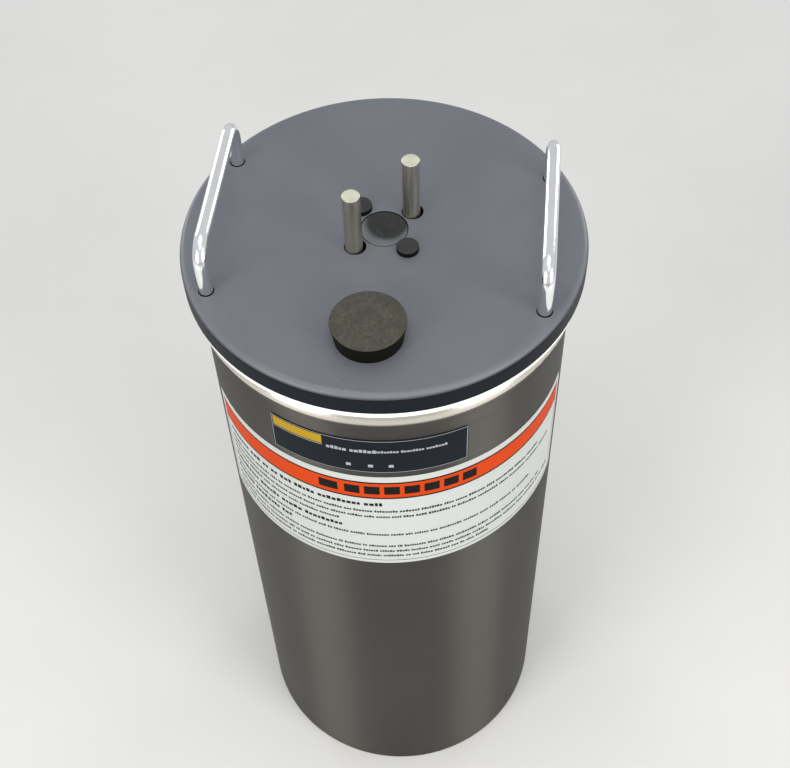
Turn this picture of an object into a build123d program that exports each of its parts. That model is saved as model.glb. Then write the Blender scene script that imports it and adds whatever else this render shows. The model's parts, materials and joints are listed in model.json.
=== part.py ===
"""Lidded liquid nitrogen dewar with a probe block hung from its lid.

A double-walled stainless vessel stands on a rubber foot ring.  Its lid carries two
lifting handles, an insulating plug and a copper block on four guide tubes.  Two probe
rods and four rubber stoppers fill the lid's holes.  Millimetres, +Z up, origin at the
centre of the face that stands on the bench.  The filling hole faces -Y.
"""
import os
from math import asin, cos, degrees, radians, sin, sqrt

from build123d import *

# ---------------------------------------------------------------- driving dimensions
LID_RADIUS = 114.3
LID_THICKNESS = 14.2
LID_EDGE_ROUND = 3.8
LID_TOP_Z = 505.0

BODY_RADIUS = 106.85
SHELL_WALL = 1.2
VESSEL_INNER_RADIUS = 96.0
VESSEL_WALL = 1.0
RIM_TOP_Z = 485.0

LIP_HOLLOW_RADIUS = 18.0
LIP_BEAD_RADIUS = 7.0
LIP_TILT = 35.0
LIP_ROLL = 75.0

STEEL_FOOT_Z = 1.5
FOOT_RING_INNER_RADIUS = 96.0
BASE_DISC_Z = 10.0
BASE_DISC_THICKNESS = 1.5
NECK_RING_THICKNESS = 1.5
FOOT_RING_ROUND = 0.8

VESSEL_FLOOR_Z = 35.0
CROWN_RADIUS = 160.0
KNUCKLE_RADIUS = 22.0

SEAL_DISC_RADIUS = 113.2
SEAL_DISC_THICKNESS = 4.8
PLUG_RADIUS = 94.5
PLUG_DEPTH = 50.0

HANDLE_ROD_RADIUS = 4.0
HANDLE_X = 91.4
HANDLE_LEG_SPAN = 100.0
HANDLE_BAR_HEIGHT = 31.0
HANDLE_BEND_RADIUS = 11.5

PORT_CENTRE_Y = 3.1
PORT_PITCH_RADIUS = 20.7
PORT_RADIUS = 6.0
TUBE_WALL = 0.5
BLOCK_RADIUS = 34.0
BLOCK_BOTTOM_Z = 75.0
BLOCK_HEIGHT = 120.0
WELL_FLOOR = 10.0

ROD_RADIUS = 5.0
ROD_STAND_HEIGHT = 40.2
ROD_END_CHAMFER = 0.3
ROD_LEAN = (-0.5, -0.7)  # each rod rests against the side of its wider tube

FILL_Y = -73.7
STOPPER_LENGTH = 25.0
FILL_STOPPER_TOP_RADIUS = 20.5
FILL_STOPPER_BOTTOM_RADIUS = 16.5
FILL_STOPPER_STAND = 12.0
CENTRE_STOPPER_TOP_RADIUS = 13.5
CENTRE_STOPPER_BOTTOM_RADIUS = 11.5
SMALL_STOPPER_TOP_RADIUS = 6.35
SMALL_STOPPER_BOTTOM_RADIUS = 4.1
SMALL_STOPPER_STAND = 3.2
STOPPER_EDGE_ROUND = 0.4
SEAT_CLEARANCE = 0.2

NAMEPLATE_CENTRE_ANGLE = -90.0
NAMEPLATE_ARC = 61.6
NAMEPLATE_Z = (424.2, 455.5)
NAMEPLATE_THICKNESS = 0.5
NAMEPLATE_CORNER = 1.5
LABEL_CENTRE_ANGLE = -82.0
LABEL_ARC = 139.7
LABEL_Z = (321.9, 419.2)
LABEL_THICKNESS = 0.25
LABEL_CORNER = 2.0

EVACUATION_STUB_RADIUS = 5.0
EVACUATION_STUB_WALL = 1.0
EVACUATION_STUB_PINCHED_END = 2.0
EVACUATION_STUB_BELOW_BASE = 5.0
EVACUATION_STUB_ABOVE_BASE = 4.0
EVACUATION_CAP_RADIUS = 9.0
EVACUATION_CAP_DEPTH = 8.0
EVACUATION_CAP_ROUND = 2.5
EVACUATION_CAP_CLEARANCE = 0.3
WRAP_THICKNESS = 5.0
WRAP_SLACK = 0.4
WRAP_BOTTOM_Z = 78.0
WRAP_TOP_GAP = 6.0
POUCH_RADII = (24.0, 58.0)
POUCH_THICKNESS = 6.7
POUCH_GAP = 0.3
SUPPORT_RADII = (12.0, 16.0)
GASKET_RADII = (98.0, 105.0)

HANDLE_SEAT_DEPTH = 2.0
HANDLE_SEAT_RADIUS = 4.5
HANDLE_SCREW_RADIUS = 2.0
HANDLE_THREAD_DEPTH = 9.0
SCREW_HEAD_RADIUS = 3.6
SCREW_HEAD_HEIGHT = 4.0
HANGER_RADIUS = 34.0
HANGER_THICKNESS = 3.0
HANGER_HOLE_RADIUS = 12.8
HANGER_SCREW_SHANK = 2.0
HANGER_SCREW_CIRCLE = 29.5
HANGER_SCREW_ANGLES = (0, 90, 180, 270)
HANGER_SCREW_HEAD = (3.5, 1.7)
HANGER_THREAD_DEPTH = 8.0
HANGER_CLEARANCE = 0.5
FILL_PASSAGE_RADIUS = 17.2
PLUG_BORE_RADIUS = 27.8

SOCKET_TO_SHANK = 0.75
SCREW_HEAD_OVERLAP = 0.5  # how far a shank runs into its own head

SAME_BODY_GAP = 0.05
HEAD_CLEARANCE = 0.2
PAST = 1.0  # how far a cutting tool runs past the face it opens

# ---------------------------------------------------------------- worked-out dimensions
LID_BOTTOM_Z = LID_TOP_Z - LID_THICKNESS
SEAL_DISC_BOTTOM_Z = LID_BOTTOM_Z - SEAL_DISC_THICKNESS
PLUG_BOTTOM_Z = SEAL_DISC_BOTTOM_Z - PLUG_DEPTH
SHELL_INNER_RADIUS = BODY_RADIUS - SHELL_WALL
VESSEL_OUTER_RADIUS = VESSEL_INNER_RADIUS + VESSEL_WALL
BASE_TOP_Z = BASE_DISC_Z + BASE_DISC_THICKNESS
NECK_RING_BOTTOM_Z = RIM_TOP_Z - NECK_RING_THICKNESS
BLOCK_TOP_Z = BLOCK_BOTTOM_Z + BLOCK_HEIGHT
WELL_BOTTOM_Z = BLOCK_BOTTOM_Z + WELL_FLOOR
TUBE_OUTER_RADIUS = PORT_RADIUS + TUBE_WALL
HANGER_BOTTOM_Z = LID_BOTTOM_Z - HANGER_THICKNESS
CROWN_CENTRE_Z = VESSEL_FLOOR_Z + CROWN_RADIUS

PORT_ANGLES = {"front_left": 225, "rear_right": 45, "rear_left": 135, "front_right": -45}


def at_port(name):
    """X and Y of one of the four ports round the centre stopper."""
    angle = radians(PORT_ANGLES[name])
    return PORT_PITCH_RADIUS * cos(angle), PORT_CENTRE_Y + PORT_PITCH_RADIUS * sin(angle)


def hanger_screw_places():
    return [(HANGER_SCREW_CIRCLE * cos(radians(a)), PORT_CENTRE_Y + HANGER_SCREW_CIRCLE * sin(radians(a)))
            for a in HANGER_SCREW_ANGLES]


def cylinder(radius, low, high, x=0.0, y=0.0):
    """An upright solid cylinder between two heights."""
    return Pos(x, y, low) * extrude(Circle(radius), amount=high - low)


def cone(low_radius, high_radius, low, high, x=0.0, y=0.0):
    """An upright frustum between two heights."""
    solid = Cone(low_radius, high_radius, high - low, align=(Align.CENTER, Align.CENTER, Align.MIN))
    return Pos(x, y, low) * solid


def ring(inner, outer, low, high):
    """An upright ring with a square section."""
    return cylinder(outer, low, high) - cylinder(inner, low - PAST, high + PAST)


def turned(*edges):
    """Revolve a closed outline in the XZ plane about the Z axis."""
    return revolve(make_face(Wire(edges)), Axis.Z)


def point(radius, z):
    return Vector(radius, 0, z)


def arc_about(centre, radius, start, end):
    """Arc in the XZ plane about a centre, between two angles measured from +X towards +Z."""
    def place(angle):
        return point(centre.X + radius * cos(radians(angle)), centre.Z + radius * sin(radians(angle)))
    return Edge.make_three_point_arc(place(start), place((start + end) / 2), place(end))


def line(start, end):
    return Edge.make_line(start, end)


def chain(*parts):
    """Join arcs and places into one closed run of edges, with straight lines across the gaps."""
    edges = []
    last = None
    for item in parts:
        first = item if isinstance(item, Vector) else item.position_at(0)
        if last is not None and (first - last).length > 1e-6:
            edges.append(line(last, first))
        if isinstance(item, Vector):
            last = item
        else:
            edges.append(item)
            last = item.position_at(1)
    home = parts[0] if isinstance(parts[0], Vector) else parts[0].position_at(0)
    if (home - last).length > 1e-6:
        edges.append(line(last, home))
    return edges


# ---------------------------------------------------------------- the vacuum vessel
def outer_shell():
    """Straight wall that flares through a hollow arc into a rolled bead under the lid."""
    bead_rise = LIP_BEAD_RADIUS * (sin(radians(LIP_TILT)) + sin(radians(LIP_ROLL)))
    flare_z = RIM_TOP_Z - bead_rise - LIP_HOLLOW_RADIUS * sin(radians(LIP_TILT))
    hollow = point(BODY_RADIUS + LIP_HOLLOW_RADIUS, flare_z)
    reach = LIP_HOLLOW_RADIUS + LIP_BEAD_RADIUS
    bead = point(hollow.X - reach * cos(radians(LIP_TILT)), flare_z + reach * sin(radians(LIP_TILT)))
    outside = [
        arc_about(hollow, LIP_HOLLOW_RADIUS, 180, 180 - LIP_TILT),
        arc_about(bead, LIP_BEAD_RADIUS, -LIP_TILT, LIP_ROLL),
    ]
    inside = [
        arc_about(bead, LIP_BEAD_RADIUS - SHELL_WALL, LIP_ROLL, -LIP_TILT),
        arc_about(hollow, LIP_HOLLOW_RADIUS + SHELL_WALL, 180 - LIP_TILT, 180),
    ]
    foot_out, foot_in = point(BODY_RADIUS, STEEL_FOOT_Z), point(SHELL_INNER_RADIUS, STEEL_FOOT_Z)
    return turned(*chain(foot_out, *outside, *inside, foot_in))


def lip_mouth_radius():
    """Radius of the shell's rolled edge, where it meets the neck ring."""
    tilt, roll = radians(LIP_TILT), radians(LIP_ROLL)
    bead_x = BODY_RADIUS + LIP_HOLLOW_RADIUS - (LIP_HOLLOW_RADIUS + LIP_BEAD_RADIUS) * cos(tilt)
    return bead_x + (LIP_BEAD_RADIUS - SHELL_WALL) * cos(roll)


def outer_base():
    """Flat disc welded inside the shell, with a hole for the pumping tube."""
    disc = cylinder(SHELL_INNER_RADIUS - SAME_BODY_GAP, BASE_DISC_Z, BASE_TOP_Z)
    return disc - cylinder(EVACUATION_STUB_RADIUS + SAME_BODY_GAP, BASE_DISC_Z - PAST, BASE_TOP_Z + PAST)


def neck_ring():
    """Flat ring that closes the vacuum space between the two walls."""
    return ring(VESSEL_INNER_RADIUS, lip_mouth_radius() - SAME_BODY_GAP, NECK_RING_BOTTOM_Z, RIM_TOP_Z)


def dished_profile(crown_radius, knuckle_radius):
    """Crown and knuckle arcs of the vessel's dished floor, and the height where the wall starts."""
    knuckle_x = VESSEL_INNER_RADIUS - KNUCKLE_RADIUS
    between = CROWN_RADIUS - KNUCKLE_RADIUS
    knuckle = point(knuckle_x, CROWN_CENTRE_Z - sqrt(between ** 2 - knuckle_x ** 2))
    slope = -90 + degrees(asin(knuckle_x / between))
    crown = arc_about(point(0, CROWN_CENTRE_Z), crown_radius, -90, slope)
    corner = arc_about(knuckle, knuckle_radius, slope, 0)
    return crown, corner, knuckle.Z


def inner_vessel():
    """Straight wall with a dished floor, open at the neck."""
    crown_in, corner_in, wall_z = dished_profile(CROWN_RADIUS, KNUCKLE_RADIUS)
    crown_out, corner_out, _ = dished_profile(CROWN_RADIUS + VESSEL_WALL, KNUCKLE_RADIUS + VESSEL_WALL)
    head_outside = turned(*chain(crown_out, corner_out, point(0, wall_z)))
    head_inside = turned(*chain(crown_in, corner_in, point(0, wall_z)))
    wall = ring(VESSEL_INNER_RADIUS, VESSEL_OUTER_RADIUS, wall_z, NECK_RING_BOTTOM_Z)
    return (head_outside - head_inside) + wall


def superinsulation_wrap():
    """Foil and paper layers wound round the inner vessel in the vacuum space."""
    inner = VESSEL_OUTER_RADIUS + WRAP_SLACK
    return ring(inner, inner + WRAP_THICKNESS, WRAP_BOTTOM_Z, NECK_RING_BOTTOM_Z - WRAP_TOP_GAP)


def getter_pouch():
    """Adsorbent pouch lying against the underside of the dished floor."""
    centre = point(0, CROWN_CENTRE_Z)
    top = CROWN_RADIUS + VESSEL_WALL + POUCH_GAP
    bottom = top + POUCH_THICKNESS

    def slopes(radius):
        return [-90 + degrees(asin(x / radius)) for x in POUCH_RADII]
    low = arc_about(centre, bottom, *slopes(bottom))
    high = arc_about(centre, top, *reversed(slopes(top)))
    return turned(*chain(low, high))


def centring_support():
    """Fibreglass ring that keeps the vessel's floor off the base."""
    return ring(*SUPPORT_RADII, BASE_TOP_Z, VESSEL_FLOOR_Z - VESSEL_WALL - 2 * SAME_BODY_GAP)


def evacuation_stub():
    """Pinched-off tube through which the vacuum space was pumped out."""
    low, high = BASE_DISC_Z - EVACUATION_STUB_BELOW_BASE, BASE_TOP_Z + EVACUATION_STUB_ABOVE_BASE
    bore_radius = EVACUATION_STUB_RADIUS - EVACUATION_STUB_WALL
    bore = cylinder(bore_radius, low + EVACUATION_STUB_PINCHED_END, high + PAST)
    return cylinder(EVACUATION_STUB_RADIUS, low, high) - bore


def evacuation_cap():
    """Domed cap that covers the pinched-off tube under the base."""
    low = BASE_DISC_Z - EVACUATION_CAP_DEPTH
    cap = cylinder(EVACUATION_CAP_RADIUS, low, BASE_DISC_Z)
    cap = fillet(cap.edges().group_by(Axis.Z)[0], EVACUATION_CAP_ROUND)
    pocket_radius = EVACUATION_STUB_RADIUS + EVACUATION_CAP_CLEARANCE
    return cap - cylinder(pocket_radius, low + EVACUATION_CAP_ROUND, BASE_DISC_Z + PAST)


def foot_ring():
    """Rubber ring that the vessel stands on, held inside the shell's lower edge."""
    body = ring(FOOT_RING_INNER_RADIUS, SHELL_INNER_RADIUS - SAME_BODY_GAP, 0, BASE_DISC_Z)
    return fillet(body.edges().group_by(Axis.Z)[0], FOOT_RING_ROUND)


def rim_gasket():
    """Thin seal between the neck ring and the lid's white disc."""
    return ring(*GASKET_RADII, RIM_TOP_Z, SEAL_DISC_BOTTOM_Z)


def wrapped_plate(centre_angle, arc, heights, thickness, corner):
    """A thin plate bent round the body, with rounded corners."""
    low, high = heights
    inner = BODY_RADIUS + SAME_BODY_GAP
    outer = inner + thickness
    section = Polyline((inner, 0, low), (outer, 0, low), (outer, 0, high), (inner, 0, high), close=True)
    plate = revolve(make_face(section), Axis.Z, revolution_arc=arc)
    plate = Rot(0, 0, centre_angle - arc / 2) * plate
    ends = [edge for edge in plate.edges() if abs(edge.length - thickness) < 1e-4]
    return fillet(ends, corner)


def nameplate():
    return wrapped_plate(NAMEPLATE_CENTRE_ANGLE, NAMEPLATE_ARC, NAMEPLATE_Z, NAMEPLATE_THICKNESS,
                         NAMEPLATE_CORNER)


def wrap_label():
    return wrapped_plate(LABEL_CENTRE_ANGLE, LABEL_ARC, LABEL_Z, LABEL_THICKNESS, LABEL_CORNER)


# ---------------------------------------------------------------- the lid and what hangs from it
def seat(top_radius, bottom_radius, stand, x, y):
    """Tapered hole in the lid plate that a stopper of the same taper drops into."""
    taper = (top_radius - bottom_radius) / STOPPER_LENGTH
    mouth = top_radius - taper * stand + SEAT_CLEARANCE
    foot = mouth - taper * (LID_THICKNESS + PAST)
    return cone(foot, mouth + taper * PAST, LID_BOTTOM_Z - PAST, LID_TOP_Z + PAST, x, y)


def lid_plate():
    """Thick grey disc with a rounded upper edge, the stopper seats and the probe ports."""
    plate = cylinder(LID_RADIUS, LID_BOTTOM_Z, LID_TOP_Z)
    plate = fillet(plate.edges().group_by(Axis.Z)[-1], LID_EDGE_ROUND)
    plate -= seat(FILL_STOPPER_TOP_RADIUS, FILL_STOPPER_BOTTOM_RADIUS, FILL_STOPPER_STAND, 0, FILL_Y)
    plate -= seat(CENTRE_STOPPER_TOP_RADIUS, CENTRE_STOPPER_BOTTOM_RADIUS, 0, 0, PORT_CENTRE_Y)
    taper = (SMALL_STOPPER_TOP_RADIUS - SMALL_STOPPER_BOTTOM_RADIUS) / STOPPER_LENGTH
    mouth = SMALL_STOPPER_TOP_RADIUS - taper * SMALL_STOPPER_STAND + SEAT_CLEARANCE
    taper_depth = (mouth - PORT_RADIUS) / taper
    for name in PORT_ANGLES:
        x, y = at_port(name)
        plate -= cylinder(PORT_RADIUS, LID_BOTTOM_Z - PAST, LID_TOP_Z + PAST, x, y)
        plate -= cone(PORT_RADIUS, mouth, LID_TOP_Z - taper_depth, LID_TOP_Z, x, y)
    low = LID_BOTTOM_Z - PAST
    for x, y in handle_feet():
        plate -= cylinder(HANDLE_SCREW_RADIUS + SAME_BODY_GAP, low, LID_TOP_Z + PAST, x, y)
        plate -= cylinder(SCREW_HEAD_RADIUS + HEAD_CLEARANCE, low, LID_BOTTOM_Z + SCREW_HEAD_HEIGHT, x, y)
        plate -= cylinder(HANDLE_SEAT_RADIUS, LID_TOP_Z - HANDLE_SEAT_DEPTH, LID_TOP_Z + PAST, x, y)
    for x, y in hanger_screw_places():
        plate -= cylinder(HANGER_SCREW_SHANK + SAME_BODY_GAP, low, LID_BOTTOM_Z + HANGER_THREAD_DEPTH, x, y)
    return plate


def seal_disc():
    """White plastic ring bonded under the lid plate; only its edge shows above the rim."""
    low, high = SEAL_DISC_BOTTOM_Z - PAST, LID_BOTTOM_Z + PAST
    disc = cylinder(SEAL_DISC_RADIUS, SEAL_DISC_BOTTOM_Z, LID_BOTTOM_Z)
    disc -= cylinder(HANGER_RADIUS + HANGER_CLEARANCE, low, high, 0, PORT_CENTRE_Y)
    return disc - cylinder(FILL_PASSAGE_RADIUS, low, high, 0, FILL_Y)


def insulating_plug():
    """Closed-cell foam cylinder that fills the neck, bored for the tubes and notched for filling."""
    low, high = PLUG_BOTTOM_Z - PAST, SEAL_DISC_BOTTOM_Z + PAST
    plug = cylinder(PLUG_RADIUS, PLUG_BOTTOM_Z, SEAL_DISC_BOTTOM_Z)
    plug -= cylinder(PLUG_BORE_RADIUS, low, high, 0, PORT_CENTRE_Y)
    notch = Pos(0, FILL_Y) * Circle(FILL_PASSAGE_RADIUS)
    notch += Pos(0, FILL_Y - PLUG_RADIUS / 2) * Rectangle(2 * FILL_PASSAGE_RADIUS, PLUG_RADIUS)
    return plug - Pos(0, 0, low) * extrude(notch, amount=high - low)


def hanger_plate():
    """Stainless disc welded to the guide tubes and screwed to the lid plate's underside."""
    low, high = HANGER_BOTTOM_Z - PAST, LID_BOTTOM_Z + PAST
    plate = cylinder(HANGER_RADIUS, HANGER_BOTTOM_Z, LID_BOTTOM_Z, 0, PORT_CENTRE_Y)
    plate -= cylinder(HANGER_HOLE_RADIUS, low, high, 0, PORT_CENTRE_Y)
    for name in PORT_ANGLES:
        plate -= cylinder(TUBE_OUTER_RADIUS + SAME_BODY_GAP, low, high, *at_port(name))
    for x, y in hanger_screw_places():
        plate -= cylinder(HANGER_SCREW_SHANK + SAME_BODY_GAP, low, high, x, y)
    return plate


def cap_screw(shank, length, head_radius, head_height, head_top_z, x, y):
    """A socket screw driven upwards: its head hangs below head_top_z and its shank rises from it."""
    head_z = head_top_z - head_height
    head = cylinder(head_radius, head_z, head_top_z, x, y)
    socket = Pos(x, y, head_z) * extrude(RegularPolygon(shank * SOCKET_TO_SHANK, 6), amount=head_height / 2)
    return head + cylinder(shank, head_top_z - SCREW_HEAD_OVERLAP, head_top_z + length, x, y) - socket


def hanger_screws():
    length = HANGER_THICKNESS + HANGER_THREAD_DEPTH - PAST
    return [cap_screw(HANGER_SCREW_SHANK, length, *HANGER_SCREW_HEAD, HANGER_BOTTOM_Z, x, y)
            for x, y in hanger_screw_places()]


def handle_feet():
    half = HANDLE_LEG_SPAN / 2
    return [(side * HANDLE_X, end * half) for side in (-1, 1) for end in (-1, 1)]


def handle(side):
    """Round bar bent to a U; its legs stand in shallow seats and are tapped from below."""
    x, half = side * HANDLE_X, HANDLE_LEG_SPAN / 2
    foot = LID_TOP_Z - HANDLE_SEAT_DEPTH
    bar = LID_TOP_Z + HANDLE_BAR_HEIGHT
    path = FilletPolyline((x, -half, foot), (x, -half, bar), (x, half, bar), (x, half, foot),
                          radius=HANDLE_BEND_RADIUS)
    rod = sweep(Plane((x, -half, foot)) * Circle(HANDLE_ROD_RADIUS), path)
    low, high = foot - PAST, foot + HANDLE_THREAD_DEPTH + PAST
    for end in (-half, half):
        rod -= cylinder(HANDLE_SCREW_RADIUS + SAME_BODY_GAP, low, high, x, end)
    return rod


def handle_screws():
    seat_z = LID_BOTTOM_Z + SCREW_HEAD_HEIGHT
    length = LID_TOP_Z - HANDLE_SEAT_DEPTH + HANDLE_THREAD_DEPTH - seat_z
    head_height = SCREW_HEAD_HEIGHT - HEAD_CLEARANCE
    return [cap_screw(HANDLE_SCREW_RADIUS, length, SCREW_HEAD_RADIUS, head_height, seat_z, x, y)
            for x, y in handle_feet()]


def guide_tube(name):
    """Thin tube from the lid plate's underside down to its well's floor, soldered into the block."""
    x, y = at_port(name)
    bore = cylinder(PORT_RADIUS, WELL_BOTTOM_Z - PAST, LID_BOTTOM_Z + PAST, x, y)
    return cylinder(TUBE_OUTER_RADIUS, WELL_BOTTOM_Z, LID_BOTTOM_Z, x, y) - bore


def block_slab(front_y, rear_y):
    """One slab of the copper block; its grooves close round the guide tubes."""
    outline = Pos(0, PORT_CENTRE_Y) * Circle(BLOCK_RADIUS)
    outline &= Pos(0, (front_y + rear_y) / 2) * Rectangle(2 * BLOCK_RADIUS, rear_y - front_y)
    for name in PORT_ANGLES:
        outline -= Pos(*at_port(name)) * Circle(TUBE_OUTER_RADIUS + SAME_BODY_GAP)
    return Pos(0, 0, WELL_BOTTOM_Z) * extrude(outline, amount=BLOCK_TOP_Z - WELL_BOTTOM_Z)


def block_floor():
    """Copper disc soldered under the slabs; it closes the wells and carries the rods."""
    return cylinder(BLOCK_RADIUS, BLOCK_BOTTOM_Z, WELL_BOTTOM_Z, 0, PORT_CENTRE_Y)


# ---------------------------------------------------------------- pieces that lift out of the lid
def stopper(top_radius, bottom_radius, stand, x, y):
    """Tapered rubber stopper; its top stands the given height above the lid."""
    top = LID_TOP_Z + stand
    body = cone(bottom_radius, top_radius, top - STOPPER_LENGTH, top, x, y)
    return fillet(body.edges().filter_by(GeomType.CIRCLE), STOPPER_EDGE_ROUND)


def small_stopper(name):
    x, y = at_port(name)
    return stopper(SMALL_STOPPER_TOP_RADIUS, SMALL_STOPPER_BOTTOM_RADIUS, SMALL_STOPPER_STAND, x, y)


def probe_rod(name):
    """Plain steel rod that stands on its well's floor and reaches above the lid."""
    x, y = at_port(name)
    lean_x, lean_y = ROD_LEAN
    rod = cylinder(ROD_RADIUS, WELL_BOTTOM_Z, LID_TOP_Z + ROD_STAND_HEIGHT, x + lean_x, y + lean_y)
    return chamfer(rod.edges().filter_by(GeomType.CIRCLE), ROD_END_CHAMFER)


def all_nodes():
    front_joint, rear_joint = at_port("front_left")[1], at_port("rear_left")[1]
    block_front_y, block_rear_y = PORT_CENTRE_Y - BLOCK_RADIUS, PORT_CENTRE_Y + BLOCK_RADIUS
    nodes = {
        "outer_shell": outer_shell(),
        "outer_base": outer_base(),
        "neck_ring": neck_ring(),
        "inner_vessel": inner_vessel(),
        "superinsulation_wrap": superinsulation_wrap(),
        "getter_pouch": getter_pouch(),
        "centring_support": centring_support(),
        "evacuation_stub": evacuation_stub(),
        "evacuation_cap": evacuation_cap(),
        "foot_ring": foot_ring(),
        "rim_gasket": rim_gasket(),
        "nameplate": nameplate(),
        "wrap_label": wrap_label(),
        "lid_plate": lid_plate(),
        "seal_disc": seal_disc(),
        "insulating_plug": insulating_plug(),
        "hanger_plate": hanger_plate(),
        "hanger_screws": hanger_screws(),
        "handle_left": handle(-1),
        "handle_right": handle(1),
        "handle_screws": handle_screws(),
        "block_front_slab": block_slab(block_front_y, front_joint - SAME_BODY_GAP / 2),
        "block_middle_slab": block_slab(front_joint + SAME_BODY_GAP / 2, rear_joint - SAME_BODY_GAP / 2),
        "block_rear_slab": block_slab(rear_joint + SAME_BODY_GAP / 2, block_rear_y),
        "block_floor": block_floor(),
        "fill_stopper": stopper(FILL_STOPPER_TOP_RADIUS, FILL_STOPPER_BOTTOM_RADIUS,
                                FILL_STOPPER_STAND, 0, FILL_Y),
        "centre_stopper": stopper(CENTRE_STOPPER_TOP_RADIUS, CENTRE_STOPPER_BOTTOM_RADIUS,
                                  0, 0, PORT_CENTRE_Y),
        "rear_left_stopper": small_stopper("rear_left"),
        "front_right_stopper": small_stopper("front_right"),
        "front_left_rod": probe_rod("front_left"),
        "rear_right_rod": probe_rod("rear_right"),
    }
    for name in PORT_ANGLES:
        nodes["guide_tube_" + name] = guide_tube(name)
    return nodes


os.makedirs("parts", exist_ok=True)
for node, shape in all_nodes().items():
    if isinstance(shape, list):
        shape = Compound(children=[solid for piece in shape for solid in piece.solids()])
    export_step(shape, f"parts/{node}.step")
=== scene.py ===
"""Looks for the lidded liquid nitrogen dewar: materials, handles, stoppers, films and studio.

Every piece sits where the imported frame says. Metres, +Z up; the filling hole faces -Y.
"""
import json
import math
import random

import bmesh
import bpy
from mathutils import Matrix, Vector

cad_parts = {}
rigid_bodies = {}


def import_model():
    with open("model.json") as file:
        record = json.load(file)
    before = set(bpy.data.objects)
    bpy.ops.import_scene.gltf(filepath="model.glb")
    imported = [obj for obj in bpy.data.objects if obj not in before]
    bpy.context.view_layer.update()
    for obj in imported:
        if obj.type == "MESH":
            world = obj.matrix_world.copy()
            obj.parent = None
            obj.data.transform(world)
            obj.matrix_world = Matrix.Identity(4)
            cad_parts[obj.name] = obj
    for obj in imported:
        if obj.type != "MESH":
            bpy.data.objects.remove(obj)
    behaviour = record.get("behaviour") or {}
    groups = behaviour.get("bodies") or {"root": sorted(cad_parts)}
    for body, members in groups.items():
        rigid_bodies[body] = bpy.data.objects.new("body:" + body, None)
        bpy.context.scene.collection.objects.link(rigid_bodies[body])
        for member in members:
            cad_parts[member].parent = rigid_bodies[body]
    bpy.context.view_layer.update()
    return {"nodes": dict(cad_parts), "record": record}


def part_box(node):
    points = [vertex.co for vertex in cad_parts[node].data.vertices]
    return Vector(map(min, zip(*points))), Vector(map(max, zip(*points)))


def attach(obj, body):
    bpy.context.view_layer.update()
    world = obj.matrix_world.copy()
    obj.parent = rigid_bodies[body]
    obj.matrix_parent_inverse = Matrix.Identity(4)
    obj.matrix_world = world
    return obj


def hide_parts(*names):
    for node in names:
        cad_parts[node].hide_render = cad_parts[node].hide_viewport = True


for leftover in list(bpy.data.objects):
    bpy.data.objects.remove(leftover, do_unlink=True)
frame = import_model()

MM = 0.001
TAU = 2 * math.pi
QUARTER = math.pi / 2
# Where a Mix node set to colours keeps its share, its two colours and its result.
MIX_INPUTS = (0, 6, 7)
MIX_COLOUR = 2


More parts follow.
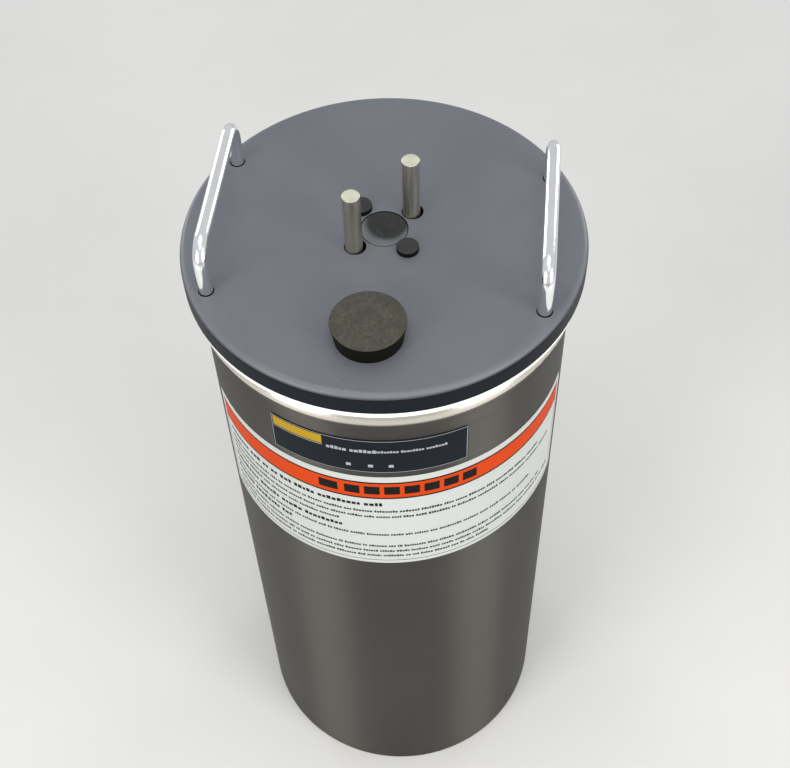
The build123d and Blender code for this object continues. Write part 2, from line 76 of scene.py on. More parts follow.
# ---------------------------------------------------------------- shader helpers
class Shader:
    """A Principled material with short calls for the nodes this scene uses."""

    def __init__(self, name, colour, roughness, **sockets):
        self.material = bpy.data.materials.new(name)
        self.material.use_nodes = True
        self.nodes = self.material.node_tree.nodes
        self.links = self.material.node_tree.links
        self.surface = self.nodes["Principled BSDF"]
        self.surface.inputs["Base Color"].default_value = (*colour, 1)
        self.surface.inputs["Roughness"].default_value = roughness
        for socket, value in sockets.items():
            self.surface.inputs[socket.replace("_", " ")].default_value = value
        self.place = self.nodes.new("ShaderNodeTexCoord").outputs["Object"]

    def link(self, source, target):
        self.links.new(source, target)

    def stretched(self, scale=(1, 1, 1)):
        mapping = self.nodes.new("ShaderNodeMapping")
        mapping.inputs["Scale"].default_value = scale
        self.link(self.place, mapping.inputs["Vector"])
        return mapping.outputs["Vector"]

    def noise(self, scale, detail=4.0, stretch=(1, 1, 1), roughness=0.55):
        node = self.nodes.new("ShaderNodeTexNoise")
        node.inputs["Scale"].default_value = scale
        node.inputs["Detail"].default_value = detail
        node.inputs["Roughness"].default_value = roughness
        self.link(self.stretched(stretch), node.inputs["Vector"])
        return node.outputs["Fac"]

    def cells(self, scale):
        node = self.nodes.new("ShaderNodeTexVoronoi")
        node.inputs["Scale"].default_value = scale
        self.link(self.stretched(), node.inputs["Vector"])
        return node.outputs["Distance"]

    def spread(self, source, low, high, to_low=0.0, to_high=1.0):
        """Stretch the range low..high of a socket to the range to_low..to_high, and clamp it there."""
        node = self.nodes.new("ShaderNodeMapRange")
        limits = {"From Min": low, "From Max": high, "To Min": to_low, "To Max": to_high}
        for socket, value in limits.items():
            node.inputs[socket].default_value = value
        self.link(source, node.inputs["Value"])
        return node.outputs["Result"]

    def mix(self, share, first, second):
        """Mix two colours; each is a tuple or a socket, and share is a number or a socket."""
        node = self.nodes.new("ShaderNodeMix")
        node.data_type = "RGBA"
        for index, value in zip(MIX_INPUTS, (share, first, second)):
            socket = node.inputs[index]
            if isinstance(value, bpy.types.NodeSocket):
                self.link(value, socket)
            elif isinstance(value, tuple):
                socket.default_value = (*value, 1)
            else:
                socket.default_value = value
        return node.outputs[MIX_COLOUR]

    def math(self, operation, first, second=0.0):
        node = self.nodes.new("ShaderNodeMath")
        node.operation = operation
        for socket, value in zip(node.inputs, (first, second)):
            if isinstance(value, bpy.types.NodeSocket):
                self.link(value, socket)
            else:
                socket.default_value = value
        return node.outputs[0]

    def axis(self, name):
        node = self.nodes.new("ShaderNodeSeparateXYZ")
        self.link(self.place, node.inputs[0])
        return node.outputs[name]

    def colour(self, source):
        self.link(source, self.surface.inputs["Base Color"])

    def roughness(self, source):
        self.link(source, self.surface.inputs["Roughness"])

    def bump(self, source, distance, strength):
        node = self.nodes.new("ShaderNodeBump")
        node.inputs["Distance"].default_value = distance
        node.inputs["Strength"].default_value = strength
        self.link(source, node.inputs["Height"])
        self.link(node.outputs["Normal"], self.surface.inputs["Normal"])


def scaled(colour, factor):
    return tuple(min(1.0, channel * factor) for channel in colour)


# ---------------------------------------------------------------- materials
def upward(s, low, high):
    """0 on walls and 1 on faces that look up, between two slopes."""
    split = s.nodes.new("ShaderNodeSeparateXYZ")
    s.link(s.nodes.new("ShaderNodeNewGeometry").outputs["Normal"], split.inputs[0])
    return s.spread(split.outputs["Z"], low, high, 0, 1)


def turned_steel(name, colour, roughness, streaks, smudges, anisotropy, painted_highlight=None):
    """Stainless steel brushed round its axis: fine level streaks, dull patches and wipe marks.

    The optional last argument is a colour painted in as a highlight, and the two heights between which
    the brushing gives way to it.
    """
    s = Shader(name, colour, roughness, Metallic=1.0, Anisotropic=anisotropy)
    tangent = s.nodes.new("ShaderNodeTangent")
    tangent.direction_type = "RADIAL"
    tangent.axis = "Z"
    s.link(tangent.outputs["Tangent"], s.surface.inputs["Tangent"])
    s.surface.inputs["Anisotropic Rotation"].default_value = 0.25
    fine = s.noise(1.0, 7, (9, 9, 2100), 0.75)
    broad = s.noise(1.0, 3, (4, 4, 420))
    cloud = s.noise(9, 4, (1, 1, 0.35))
    tone = s.mix(s.spread(fine, 0.3, 0.7, 0, streaks), scaled(colour, 0.78), scaled(colour, 1.22))
    tone = s.mix(s.spread(broad, 0.35, 0.7, 0, 0.45 * streaks), tone, scaled(colour, 1.15))
    tone = s.mix(s.spread(cloud, 0.45, 0.75, 0, 0.35 * smudges), tone, scaled(colour, 0.75))
    dull = s.math("ADD", s.spread(fine, 0.25, 0.75, roughness - 0.05, roughness + 0.06),
                  s.spread(cloud, 0.4, 0.8, 0, 0.06 * smudges))
    if painted_highlight:
        bright, low, high = painted_highlight
        level = s.spread(s.axis("Z"), low, high, 0, 1)
        highlight_tone = s.mix(s.spread(broad, 0.35, 0.7, 0, 1), scaled(bright, 0.9), bright)
        # Painted highlight: between the two heights, the bright colour stands for light reflected by the
        # lip.
        tone = s.mix(level, tone, highlight_tone)
        dull = s.math("SUBTRACT", dull, s.math("MULTIPLY", level, 0.12))
    s.colour(tone)
    s.roughness(dull)
    s.bump(fine, 0.00002 * streaks, 0.5)
    return s.material


def lid_grey():
    """Blue-grey satin plastic: matt bead-blasted top, a turned edge painted near-black as painted shade,
    a few specks of dust.
    """
    # The edge colour is painted shade: near-black for the sideways-facing side of the lid.
    top, edge, dust = (0.120, 0.126, 0.147), (0.005, 0.007, 0.011), (0.42, 0.43, 0.45)
    s = Shader("lid_grey", top, 0.46)
    cloud = s.noise(14, 5)
    grain = s.noise(900, 3)
    tone = s.mix(s.spread(cloud, 0.35, 0.7, 0, 1), scaled(top, 0.94), scaled(top, 1.07))
    tone = s.mix(s.spread(grain, 0.35, 0.65, 0, 0.5), tone, scaled(top, 1.08))
    specks = s.spread(s.cells(210), 0.0, 0.085, 1, 0)
    rare = s.spread(s.noise(60, 2), 0.58, 0.66, 0, 1)
    tone = s.mix(s.math("MULTIPLY", s.math("MULTIPLY", specks, rare), 0.5), tone, dust)
    level = upward(s, 0.2, 0.7)
    # Painted shade: faces that look sideways take the near-black edge colour.
    s.colour(s.mix(level, edge, tone))
    s.link(s.spread(level, 0, 1, 0.06, 0.45), s.surface.inputs["Specular IOR Level"])
    s.roughness(s.spread(cloud, 0.3, 0.75, 0.38, 0.50))
    s.bump(grain, 0.00004, 0.35)
    return s.material


def plastic(name, colour, roughness, grain=900, depth=0.00003, variation=0.06):
    """Plain moulded or machined plastic with a fine grain and slight colour drift."""
    s = Shader(name, colour, roughness)
    cloud = s.noise(22, 4)
    fine = s.noise(grain, 3)
    paler, darker = scaled(colour, 1 + variation), scaled(colour, 1 - variation)
    s.colour(s.mix(s.spread(cloud, 0.3, 0.7, 0, 1), darker, paler))
    s.roughness(s.spread(fine, 0.3, 0.7, roughness - 0.05, roughness + 0.06))
    s.bump(fine, depth, 0.4)
    return s.material


def foam():
    """Closed-cell foam: small pits between smooth skins, painted darker in the pits as painted shade."""
    colour, aged = (0.84, 0.84, 0.82), (0.80, 0.78, 0.70)
    s = Shader("white_foam", colour, 0.75)
    pits = s.cells(420)
    cloud = s.noise(18, 4)
    # Painted shade: the pits are painted darker.
    tone = s.mix(s.spread(pits, 0.0, 0.5, 0, 1), scaled(colour, 0.86), colour)
    s.colour(s.mix(s.spread(cloud, 0.4, 0.7, 0, 0.25), tone, aged))
    s.bump(pits, 0.0005, 0.6)
    return s.material


def chrome():
    """Bright plated bar with faint haze."""
    s = Shader("handle_chrome", (0.88, 0.89, 0.90), 0.12, Metallic=1.0)
    haze = s.noise(60, 4)
    s.colour(s.mix(s.spread(haze, 0.35, 0.7, 0, 1), (0.85, 0.86, 0.87), (0.91, 0.92, 0.93)))
    s.roughness(s.spread(haze, 0.3, 0.75, 0.09, 0.17))
    s.bump(s.noise(420, 2), 0.00001, 0.2)
    return s.material


def rubber(name, side, dust, reflection_crescent=None):
    """Matt black rubber; its upper face carries pale dust, and a dished face can carry a curved band of
    painted reflection.

    The optional last argument places that painted reflection: the middle of the part left without it,
    the two reaches from it between which the reflection begins, and its colour.
    """
    s = Shader(name, side, 0.62)
    s.surface.inputs["Specular IOR Level"].default_value = 0.12
    grain = s.noise(620, 6)
    cloud = s.noise(110, 6)
    dust_and_reflection = s.mix(s.spread(grain, 0.36, 0.66, 0, 1), scaled(dust, 0.72), scaled(dust, 1.22))
    dust_and_reflection = s.mix(s.spread(cloud, 0.42, 0.66, 0, 0.8), dust_and_reflection, scaled(dust, 0.72))
    if reflection_crescent:
        middle, inner, outer, pale = reflection_crescent
        away = s.nodes.new("ShaderNodeVectorMath")
        away.operation = "DISTANCE"
        away.inputs[1].default_value = middle
        s.link(s.place, away.inputs[0])
        reach = s.math("ADD", away.outputs["Value"], s.math("MULTIPLY", cloud, 0.003))
        # Painted reflection: away from the middle, the dished face turns pale where it would reflect
        # light.
        dust_and_reflection = s.mix(s.spread(reach, inner, outer, 0, 0.9), dust_and_reflection, pale)
    s.colour(s.mix(upward(s, 0.55, 0.98), side, dust_and_reflection))
    s.roughness(s.spread(grain, 0.3, 0.7, 0.52, 0.72))
    s.bump(grain, 0.00012, 0.45)
    return s.material


def drawn_rod():
    """Drawn stainless bar with fine marks along its length, its upward end painted paler as a painted
    highlight.
    """
    steel, lit_end_low, lit_end_high = (0.54, 0.51, 0.44), (0.72, 0.70, 0.57), (0.84, 0.82, 0.68)
    s = Shader("rod_steel", steel, 0.40, Metallic=1.0, Anisotropic=0.3)
    marks = s.noise(1.0, 5, (2600, 2600, 30), 0.6)
    cloud = s.noise(60, 4, (1, 1, 0.3))
    facing_up = upward(s, 0.7, 0.98)
    tone = s.mix(s.spread(marks, 0.3, 0.7, 0, 1), scaled(steel, 0.72), scaled(steel, 1.18))
    tone = s.mix(s.spread(cloud, 0.4, 0.7, 0, 0.35), tone, scaled(steel, 0.75))
    # Painted highlight: the upward-facing end gets a paler, warmer colour for the light it catches.
    lit_end_tone = s.mix(s.spread(s.noise(900, 3), 0.3, 0.7, 0, 1), lit_end_low, lit_end_high)
    s.colour(s.mix(facing_up, tone, lit_end_tone))
    duller_end = s.math("MULTIPLY", facing_up, 0.1)
    s.roughness(s.math("ADD", s.spread(marks, 0.3, 0.7, 0.32, 0.46), duller_end))
    s.bump(marks, 0.00002, 0.4)
    return s.material


def copper(name):
    """Turned copper with a warm tarnish."""
    colour, tarnished = (0.72, 0.36, 0.22), (0.30, 0.14, 0.09)
    s = Shader(name, colour, 0.3, Metallic=1.0, Anisotropic=0.5)
    rings = s.noise(1.0, 5, (10, 10, 3000), 0.6)
    tarnish = s.noise(28, 6)
    tone = s.mix(s.spread(rings, 0.3, 0.7, 0, 1), scaled(colour, 0.86), scaled(colour, 1.12))
    s.colour(s.mix(s.spread(tarnish, 0.48, 0.72, 0, 0.6), tone, tarnished))
    s.roughness(s.spread(tarnish, 0.35, 0.75, 0.24, 0.48))
    s.bump(rings, 0.00002, 0.4)
    return s.material


def foil():
    """Crinkled metallised film, painted darker in its hollows as painted shade."""
    s = Shader("foil_wrap", (0.82, 0.82, 0.80), 0.25, Metallic=0.9)
    creases = s.cells(60)
    # Painted shade: the hollows of the crinkles are painted darker.
    s.colour(s.mix(s.spread(creases, 0, 0.6, 0, 1), (0.70, 0.70, 0.69), (0.88, 0.88, 0.86)))
    s.roughness(s.spread(creases, 0, 0.7, 0.18, 0.36))
    s.bump(creases, 0.0012, 0.7)
    return s.material


def woven(name, colour):
    """Plain weave or glass laminate."""
    s = Shader(name, colour, 0.7)
    threads = s.nodes.new("ShaderNodeTexWave")
    threads.inputs["Scale"].default_value = 500
    s.link(s.stretched(), threads.inputs["Vector"])
    weave = threads.outputs["Fac"]
    s.colour(s.mix(weave, scaled(colour, 0.8), scaled(colour, 1.1)))
    s.bump(weave, 0.0002, 0.5)
    return s.material


def printed(name, colour, roughness, wear):
    """Ink or coated film with slight mottle."""
    s = Shader(name, colour, roughness)
    s.surface.inputs["Specular IOR Level"].default_value = 0.06
    mottle = s.noise(160, 5)
    cloud = s.noise(12, 4)
    tone = s.mix(s.spread(mottle, 0.3, 0.7, 0, 1), scaled(colour, 1 - wear), scaled(colour, 1 + wear))
    tone = s.mix(s.spread(cloud, 0.4, 0.75, 0, 0.5), tone, scaled(colour, 1 - 1.5 * wear))
    s.colour(tone)
    s.roughness(s.spread(mottle, 0.3, 0.7, roughness - 0.04, roughness + 0.06))
    s.bump(mottle, 0.00001, 0.3)
    return s.material


# The rolled lip is smoother, and its bright colour is a painted highlight: that colour, and the two
# heights between which the brushing ends.
LIP_PAINTED_HIGHLIGHT = ((0.74, 0.71, 0.63), 0.4705, 0.4765)
# Roughness, streaks, smudges and how far highlights stretch along the axis.
SHELL_BRUSHING = (0.36, 1.5, 1.0, 0.95)
PIPE_FINISH = (0.32, 0.6, 0.6, 0.4)
SCREW_FINISH = (0.28, 0.4, 0.3, 0.2)

MATERIALS = {
    # The shell's very dark steel colour is painted shade, standing for the dark surroundings it
    # reflects.
    "brushed_steel": turned_steel("brushed_steel", (0.072, 0.069, 0.062), *SHELL_BRUSHING, LIP_PAINTED_HIGHLIGHT),
    "plain_steel": turned_steel("plain_steel", (0.56, 0.56, 0.55), *PIPE_FINISH),
    "foil_wrap": foil(),
    "pouch_fabric": woven("pouch_fabric", (0.72, 0.69, 0.62)),
    "fibreglass": woven("fibreglass", (0.62, 0.66, 0.45)),
    "pump_out_copper": copper("pump_out_copper"),
    "black_plastic": plastic("black_plastic", (0.03, 0.03, 0.032), 0.5),
    "black_rubber": plastic("black_rubber", (0.022, 0.022, 0.023), 0.68, 600, 0.00008),
    "nameplate_blue": printed("nameplate_blue", (0.005, 0.008, 0.012), 0.45, 0.12),
    "label_white": printed("label_white", (0.455, 0.476, 0.465), 0.5, 0.02),
    "lid_grey": lid_grey(),
    "white_plastic": plastic("white_plastic", (0.93, 0.93, 0.92), 0.42, 700, 0.00002, 0.015),
    "white_foam": foam(),
    "screw_steel": turned_steel("screw_steel", (0.50, 0.50, 0.49), *SCREW_FINISH),
    "handle_chrome": chrome(),
    "block_copper": copper("block_copper"),
    "stopper_rubber": rubber("stopper_rubber", (0.002, 0.002, 0.001), (0.068, 0.067, 0.054)),
    "rod_steel": drawn_rod(),
}


def dress(piece, slot, material=None):
    piece.data.materials.clear()
    piece.data.materials.append(material or MATERIALS[slot])


for row in frame["record"]["subparts"]:
    dress(frame["nodes"][row["node"]], row["material_slot"])


# ---------------------------------------------------------------- mesh helpers
TURNED_SEGMENTS = 96


def add_piece(name, vertices, faces, body, smooth_below=40):
    """A mesh that rides a body, smooth except at edges sharper than smooth_below degrees."""
    mesh = bpy.data.meshes.new(name)
    mesh.from_pydata(vertices, [], faces)
    work = bmesh.new()
    work.from_mesh(mesh)
    bmesh.ops.recalc_face_normals(work, faces=work.faces)
    work.to_mesh(mesh)
    work.free()
    mesh.polygons.foreach_set("use_smooth", [True] * len(mesh.polygons))
    mesh.set_sharp_from_angle(angle=math.radians(smooth_below))
    piece = bpy.data.objects.new(name, mesh)
    bpy.context.scene.collection.objects.link(piece)
    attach(piece, body)
    return piece


def on_wall(radius, degrees, z):
    """The point at an angle round the dewar's axis."""
    angle = math.radians(degrees)
    return radius * math.cos(angle), radius * math.sin(angle), z


def wrapped(name, start, end, low, high, inner, outer, corner):
    """A thin film bent round the wall between two angles and two heights, with round corners."""
    corner_steps, column_degrees, rows = 8, 1.25, 6
    corner_angle = math.degrees(corner / ((inner + outer) / 2))
    columns = []
    for i in range(corner_steps + 1):
        turn = i / corner_steps * QUARTER
        columns.append((start + corner_angle * (1 - math.cos(turn)), corner * (1 - math.sin(turn))))
    middle = max(2, int((end - start - 2 * corner_angle) / column_degrees))
    first, last = start + corner_angle, end - corner_angle
    columns += [(first + (last - first) * i / middle, 0.0) for i in range(1, middle)]
    columns += [(start + end - angle, trim) for angle, trim in reversed(columns[:corner_steps + 1])]
    vertices, faces = [], []
    for r in (outer, inner):
        for angle, trim in columns:
            for k in range(rows + 1):
                z = low + trim + (high - low - 2 * trim) * k / rows
                vertices.append(on_wall(r, angle, z))
    count, stride = len(columns), rows + 1
    back = count * stride

    def edge_face(a, b, flip):
        quad = (a, back + a, back + b, b)
        faces.append(quad[::-1] if flip else quad)

    for i in range(count - 1):
        for k in range(rows):
            a = i * stride + k
            faces.append((a, a + stride, a + stride + 1, a + 1))
            faces.append((back + a + 1, back + a + stride + 1, back + a + stride, back + a))
        for k, flip in ((0, False), (rows, True)):
            edge_face(i * stride + k, (i + 1) * stride + k, flip)
    for i, flip in ((0, True), (count - 1, False)):
        for k in range(rows):
            edge_face(i * stride + k, i * stride + k + 1, flip)
    return add_piece(name, vertices, faces, "dewar", smooth_below=60)


def ringed(name, rings, body):
    """A closed skin over a run of equal rings of points, with a flat cap at each end."""
    count = len(rings[0])
    vertices = [tuple(point) for ring in rings for point in ring]
    faces = []
    for k in range(len(rings) - 1):
        for i in range(count):
            a, b = k * count + i, k * count + (i + 1) % count
            faces.append((a, b, b + count, a + count))
    faces.append(tuple(range(count - 1, -1, -1)))
    faces.append(tuple(range((len(rings) - 1) * count, len(rings) * count)))
    return add_piece(name, vertices, faces, body)


def turned_piece(name, profile, x, y, body):
    """A solid of revolution; the profile runs from the lower face's rim to the upper face's middle."""
    turns = [TAU * i / TURNED_SEGMENTS for i in range(TURNED_SEGMENTS)]
    rings = [[(x + r * math.cos(t), y + r * math.sin(t), z) for t in turns] for r, z in profile]
    return ringed(name, rings, body)


# ---------------------------------------------------------------- handles and stoppers
# Each handle bar: the radius of its bends, and how finely bends, grip and round section are cut.
BEND = 11.5 * MM
BEND_STEPS = 20
GRIP_STEPS = 12
BAR_SIDES = 48


def make_handle(node, name):
    """Smooth round bar: two legs, two bends and the grip."""
    low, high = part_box(node)
    x, radius = (low.x + high.x) / 2, (high.x - low.x) / 2
    near, far, grip = low.y + radius, high.y - radius, high.z - radius
    half_leg = (low.z + grip - BEND) / 2
    straight = far - near - 2 * BEND
    arc = [i / BEND_STEPS * QUARTER for i in range(BEND_STEPS + 1)]
    path = [(near, low.z), (near, half_leg)]
    path += [(near + BEND * (1 - math.cos(a)), grip - BEND * (1 - math.sin(a))) for a in arc]
    path += [(near + BEND + straight * i / GRIP_STEPS, grip) for i in range(1, GRIP_STEPS)]
    path += [(far - BEND * (1 - math.sin(a)), grip - BEND * (1 - math.cos(a))) for a in arc]
    path += [(far, half_leg), (far, low.z)]
    sideways = Vector((1, 0, 0))
    turns = [TAU * i / BAR_SIDES for i in range(BAR_SIDES)]
    rings = []
    for k, (y, z) in enumerate(path):
        before, after = path[max(k - 1, 0)], path[min(k + 1, len(path) - 1)]
        along = Vector((0, after[0] - before[0], after[1] - before[1])).normalized()
        across = along.cross(sideways)
        middle = Vector((x, y, z))
        rings.append([middle + radius * (math.cos(t) * sideways + math.sin(t) * across) for t in turns])
    bar = ringed(name, rings, "lid")
    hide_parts(node)
    dress(bar, "handle_chrome")


def make_centre_stopper():
    """Stopper pushed in flush, its upper face slightly dished, with a round upper edge."""
    low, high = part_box("centre_stopper")
    x, y = (low.x + high.x) / 2, (low.y + high.y) / 2
    top = (high.x - low.x) / 2
    taper, edge, dish, edge_steps = 2 * MM, 0.8 * MM, 1.1 * MM, 6
    foot, inner = top - taper, top - edge
    profile = [(foot - edge, low.z), (foot - 0.3 * edge, low.z + 0.3 * edge), (foot, low.z + edge)]
    arc = [i / edge_steps * QUARTER for i in range(edge_steps + 1)]
    profile += [(top - edge * (1 - math.cos(a)), high.z - edge * (1 - math.sin(a))) for a in arc]
    dish_rings = (0.9, 0.75, 0.6, 0.4, 0.2, 0.05)
    profile += [(inner * share, high.z - dish * (1 - share ** 2)) for share in dish_rings]
    stopper = turned_piece("centre_stopper_dished", profile, x, y, "centre_stopper")
    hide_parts("centre_stopper")
    # The pale band on the dished face is a painted reflection, centred away from this point.
    reflection_free_middle = (x + 1.5 * MM, y + 5.5 * MM, high.z)
    reflection_crescent = (reflection_free_middle, 12.5 * MM, 16.5 * MM, (0.150, 0.158, 0.168))
    material = rubber("stopper_dished", (0.006, 0.006, 0.006), (0.036, 0.037, 0.038), reflection_crescent)
    dress(stopper, "stopper_rubber", material)


make_handle("handle_left", "handle_left_bar")
make_handle("handle_right", "handle_right_bar")
make_centre_stopper()
small_rubber = rubber("stopper_small", (0.002, 0.002, 0.002), (0.040, 0.040, 0.042))
for node in ("rear_left_stopper", "front_right_stopper"):
    dress(frame["nodes"][node], "stopper_rubber", small_rubber)


# ---------------------------------------------------------------- printed films
INK = 0.03 * MM
RULE_CORNER = 0.05 * MM


def film_shape(node):
    """Low and high Z, inner and outer radius, and the two end angles of a film bent round the wall."""
    low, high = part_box(node)
    points = [vertex.co for vertex in frame["nodes"][node].data.vertices]
    reach = [math.hypot(point.x, point.y) for point in points]
    angles = [math.degrees(math.atan2(point.y, point.x)) for point in points]
    return low.z, high.z, min(reach), max(reach), min(angles), max(angles)


def film_size(node):
    """Length round the wall and height of a film, in millimetres."""
    low, high, _, outer, start, end = film_shape(node)
    return math.radians(end - start) * outer / MM, (high - low) / MM


def print_on(name, node, slot, material, marks, level=1):
    """One thin print: marks are (start, end, low, high) as millimetres along and up the film.

    A print at level 0 lies over one at level 1.
    """
    low, _, _, outer, start, _ = film_shape(node)
    per_mm = math.degrees(MM / outer)
    inside, outside = outer - (level + 2) * INK, outer - level * INK
    pieces = []
    for index, (a, b, z0, z1) in enumerate(marks):
        ends, heights = (start + a * per_mm, start + b * per_mm), (low + z0 * MM, low + z1 * MM)
        pieces.append(wrapped(f"{name}_{index}", *ends, *heights, inside, outside, RULE_CORNER))
    merged = bmesh.new()
    for piece in pieces:
        merged.from_mesh(piece.data)
        bpy.data.objects.remove(piece)
    mesh = bpy.data.meshes.new(name)
    merged.to_mesh(mesh)
    merged.free()
    print_piece = bpy.data.objects.new(name, mesh)
    bpy.context.scene.collection.objects.link(print_piece)
    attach(print_piece, "dewar")
    dress(print_piece, slot, material)


def ticks_on(name, node, slot, material, marks):
    """Many marks too narrow to need bending round the wall, as one print."""
    low, _, _, outer, start, _ = film_shape(node)
    per_mm = math.degrees(MM / outer)
    box_sides = ((0, 1, 2, 3), (4, 5, 6, 7), (0, 1, 5, 4), (1, 2, 6, 5), (2, 3, 7, 6), (3, 0, 4, 7))
    vertices, faces = [], []
    for a, b, z0, z1 in marks:
        first = len(vertices)
        for radius in (outer - 3 * INK, outer - INK):
            for along, rise in ((a, z0), (b, z0), (b, z1), (a, z1)):
                vertices.append(on_wall(radius, start + along * per_mm, low + rise * MM))
        for side in box_sides:
            faces.append(tuple(first + corner for corner in side))
    piece = add_piece(name, vertices, faces, "dewar")
    dress(piece, slot, material)


# Blocks in a word: how many, how their widths vary, their heights, and the gaps as shares of a width.
WORD_BLOCKS = (2, 9)
BLOCK_WIDTHS = (0.75, 1.2)
BLOCK_HEIGHTS = (0.78, 0.78, 1.0)
BLOCK_GAP = 0.28
WORD_GAP = 0.75


def word_ticks(chance, start, end, foot, height, width):
    """A row of small upright blocks, grouped like words, that stands in for a line of lettering."""
    marks = []
    while start < end:
        for _ in range(chance.randint(*WORD_BLOCKS)):
            wide = width * chance.uniform(*BLOCK_WIDTHS)
            marks.append((start, start + wide, foot, foot + height * chance.choice(BLOCK_HEIGHTS)))
            start += wide + BLOCK_GAP * width
        start += WORD_GAP * width
    return marks


# The label, in millimetres from its left end, its lower edge or, for the stripe, its upper edge.
LABEL_CORNER = 2 * MM
LABEL_MARGIN = 3.2
STRIPE_DROPS = (21.4, 6.9)
STRIPE_RULE = 1.4
BORDER_RULE = 0.5
SIGN_BLOCK = (85.5, 97)
HEADING_START, HEADING_BLOCK, HEADING_PITCH, HEADING_COUNT = 101, 9, 11.6, 7
HEADING_CLEAR = (3.4, 3)
TEXT_INDENT = 6
HEAD_TEXT = (3.4, 2.3)
BODY_TEXT = (2.3, 1.25)
# Each row of lettering: height up the label, where it ends as a share of the length, heading or not.
TEXT_ROWS = (
    (66.5, 0.44, True),
    (59.5, 0.86, False),
    (53.5, 0.90, False),
    (47.5, 0.36, False),
    (40, 0.32, True),
    (33, 0.84, False),
    (26.5, 0.22, True),
    (19.5, 0.90, False),
    (13.5, 0.94, False),
    (8, 0.70, False),
)


def make_label():
    """Label with an orange stripe between black lines; small plain blocks stand for its lettering."""
    low, high, inner, outer, start, end = film_shape("wrap_label")
    stock = wrapped("label_stock", start, end, low, high, inner, outer - 2 * INK, LABEL_CORNER)
    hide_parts("wrap_label")
    dress(stock, "label_white")
    length, height = film_size("wrap_label")
    stripe_low, stripe_top = (height - drop for drop in STRIPE_DROPS)
    left, right = LABEL_MARGIN, length - LABEL_MARGIN
    orange = printed("label_orange", (0.50, 0.044, 0.001), 0.5, 0.05)
    stripe = [(left, right, stripe_low, stripe_top)]
    print_on("label_stripe", "wrap_label", "label_white", orange, stripe)
    black = printed("label_black", (0.005, 0.0045, 0.004), 0.5, 0.1)
    print_on("label_lines", "wrap_label", "label_white", black, [
        (left, right, stripe_top, stripe_top + STRIPE_RULE),
        (left, right, stripe_low - STRIPE_RULE, stripe_low),
        (left, right, LABEL_MARGIN, LABEL_MARGIN + BORDER_RULE),
        (left, left + BORDER_RULE, LABEL_MARGIN, stripe_low),
        (right - BORDER_RULE, right, LABEL_MARGIN, stripe_low),
    ])
    ends = [SIGN_BLOCK]
    for n in range(HEADING_COUNT):
        block_start = HEADING_START + HEADING_PITCH * n
        ends.append((block_start, block_start + HEADING_BLOCK))
    block_foot, block_top = stripe_low + HEADING_CLEAR[0], stripe_top - HEADING_CLEAR[1]
    blocks = [(a, b, block_foot, block_top) for a, b in ends]
    print_on("label_blocks", "wrap_label", "label_white", black, blocks, level=0)
    chance = random.Random(7)
    text_left = LABEL_MARGIN + TEXT_INDENT
    heads, words = [], []
    for z, share, heading in TEXT_ROWS:
        if heading:
            heads += word_ticks(chance, text_left, length * share, z, *HEAD_TEXT)
        else:
            words += word_ticks(chance, text_left, length * share, z, *BODY_TEXT)
    ticks_on("label_heads", "wrap_label", "label_white", black, heads)
    grey = printed("label_words", (0.014, 0.014, 0.015), 0.5, 0.1)
    ticks_on("label_words", "wrap_label", "label_white", grey, words)


# The nameplate, in millimetres from its left end, its lower edge or, where named a drop, its upper one.
PLATE_CORNER = 1.5 * MM
PLATE_MARGIN = 0.5
PLATE_RULE = 0.35
AMBER_ENDS = (1.6, 32.5)
AMBER_DROPS = (9.3, 1.6)
UNDERLINE_DROPS = (10.6, 10.1)
SQUARE_MIDDLES = (47, 59.5, 71)
SQUARE_HALF = 1.4
SQUARE_HEIGHTS = (5.6, 8.2)
# Two groups of small blocks: start, end, drop to their foot, height and width.
PLATE_WORDS = ((35, 58, 11.8, 2.9, 1.9), (62, 102, 11.4, 2.0, 1.3))


def make_nameplate():
    """Dark plate with a thin light edge, an amber block, small light blocks and three squares."""
    low, high, inner, outer, start, end = film_shape("nameplate")
    plate = wrapped("nameplate_film", start, end, low, high, inner, outer - 2 * INK, PLATE_CORNER)
    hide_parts("nameplate")
    dress(plate, "nameplate_blue")
    length, height = film_size("nameplate")
    left, right, foot, top = PLATE_MARGIN, length - PLATE_MARGIN, PLATE_MARGIN, height - PLATE_MARGIN
    marks = [
        (left, right, top - PLATE_RULE, top),
        (left, right, foot, foot + PLATE_RULE),
        (left, left + PLATE_RULE, foot + PLATE_RULE, top - PLATE_RULE),
        (right - PLATE_RULE, right, foot + PLATE_RULE, top - PLATE_RULE),
    ]
    marks += [(*AMBER_ENDS, *(height - drop for drop in UNDERLINE_DROPS))]
    marks += [(middle - SQUARE_HALF, middle + SQUARE_HALF, *SQUARE_HEIGHTS) for middle in SQUARE_MIDDLES]
    light = printed("plate_light", (0.30, 0.32, 0.34), 0.5, 0.05)
    print_on("plate_lines", "nameplate", "nameplate_blue", light, marks)
    chance = random.Random(3)
    words = []
    for a, b, drop, tall, wide in PLATE_WORDS:
        words += word_ticks(chance, a, b, height - drop, tall, wide)
    ticks_on("plate_words", "nameplate", "nameplate_blue", light, words)
    amber = printed("plate_amber", (0.37, 0.23, 0.012), 0.45, 0.06)
    block = [(*AMBER_ENDS, *(height - drop for drop in AMBER_DROPS))]
    print_on("plate_amber_block", "nameplate", "nameplate_blue", amber, block)


make_label()
make_nameplate()


# ---------------------------------------------------------------- studio
# The camera solved from the photograph: stand-off and height in lid radii, angles in degrees.
CAMERA_DISTANCE = 4.5054
CAMERA_HEIGHT = 9.198
CAMERA_PAN, CAMERA_TILT, CAMERA_ROLL = 0.335, 53.167, -2.295
OBJECT_TURN = 7.9
LENS = 60.83


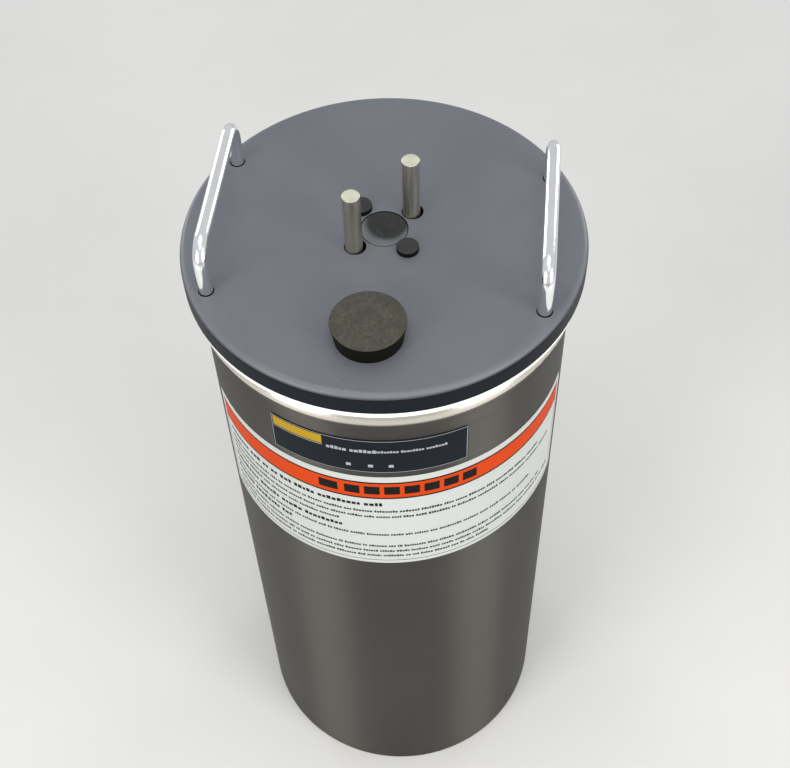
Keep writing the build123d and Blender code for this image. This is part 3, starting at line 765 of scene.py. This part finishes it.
def place_camera():
    """The photograph's viewing angle."""
    low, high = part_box("lid_plate")
    radius = (high.x - low.x) / 2
    pan, tilt, roll = (math.radians(angle) for angle in (CAMERA_PAN, CAMERA_TILT, CAMERA_ROLL))
    forward = Vector((math.sin(pan) * math.cos(tilt), math.cos(pan) * math.cos(tilt), -math.sin(tilt)))
    level_right = Vector((math.cos(pan), -math.sin(pan), 0))
    level_up = level_right.cross(forward)
    right = math.cos(roll) * level_right + math.sin(roll) * level_up
    up = -math.sin(roll) * level_right + math.cos(roll) * level_up
    stand = Matrix((right, up, -forward)).transposed().to_4x4()
    stand.translation = Vector((0, -CAMERA_DISTANCE * radius, CAMERA_HEIGHT * radius))
    camera = bpy.data.objects.new("camera", bpy.data.cameras.new("camera"))
    camera.data.lens = LENS
    camera.data.clip_start = 0.01
    bpy.context.scene.collection.objects.link(camera)
    camera.matrix_world = Matrix.Rotation(math.radians(OBJECT_TURN), 4, "Z") @ stand
    bpy.context.scene.camera = camera


def soft_light(name, place, aim_height, size, power, colour):
    """A rectangular light aimed at a height on the dewar's axis."""
    data = bpy.data.lights.new(name, "AREA")
    data.shape = "RECTANGLE"
    data.size, data.size_y = size
    data.energy = power
    data.color = colour
    lamp = bpy.data.objects.new(name, data)
    bpy.context.scene.collection.objects.link(lamp)
    lamp.location = place
    aim = Vector((0, 0, aim_height))
    lamp.rotation_euler = (aim - Vector(place)).to_track_quat("-Z", "Y").to_euler()


def floor():
    """A wide pale paper floor."""
    half = 6.0
    corners = [(-half, -half, 0), (half, -half, 0), (half, half, 0), (-half, half, 0)]
    mesh = bpy.data.meshes.new("floor")
    mesh.from_pydata(corners, [], [(0, 1, 2, 3)])
    plane = bpy.data.objects.new("floor", mesh)
    bpy.context.scene.collection.objects.link(plane)
    s = Shader("floor_paper", (0.62, 0.62, 0.61), 0.85)
    s.colour(s.mix(s.spread(s.noise(3, 4), 0.3, 0.7, 0, 1), (0.57, 0.57, 0.565), (0.61, 0.61, 0.605)))
    mesh.materials.append(s.material)


WARM = (1.0, 0.97, 0.92)
NEAR_WHITE = (1.0, 0.98, 0.95)
TALL_BOX = (0.8, 1.1)


def studio():
    """Pale world, floor, a light overhead, tall boxes at the sides and rear, and the camera."""
    scene = bpy.context.scene
    scene.view_settings.view_transform = "Standard"
    scene.view_settings.look = "None"
    world = bpy.data.worlds.new("studio")
    world.use_nodes = True
    sky = world.node_tree.nodes["Background"]
    sky.inputs["Color"].default_value = (0.96, 0.98, 1.0, 1)
    sky.inputs["Strength"].default_value = 0.68
    scene.world = world
    floor()
    soft_light("overhead", (-0.1, -0.2, 2.5), 0.4, (1.4, 1.4), 12, (1.0, 0.99, 0.97))
    soft_light("left_box", (-0.95, -1.30, 0.85), 0.35, TALL_BOX, 18, WARM)
    soft_light("right_box", (1.27, -0.95, 0.85), 0.35, TALL_BOX, 18, WARM)
    soft_light("rear_left_box", (-1.9, 1.6, 0.85), 0.35, TALL_BOX, 12, NEAR_WHITE)
    soft_light("rear_right_box", (1.5, 2.0, 0.85), 0.35, TALL_BOX, 12, NEAR_WHITE)
    soft_light("front_box", (0.25, -1.10, 2.20), 0.5, (0.8, 0.4), 4, WARM)
    place_camera()


studio()
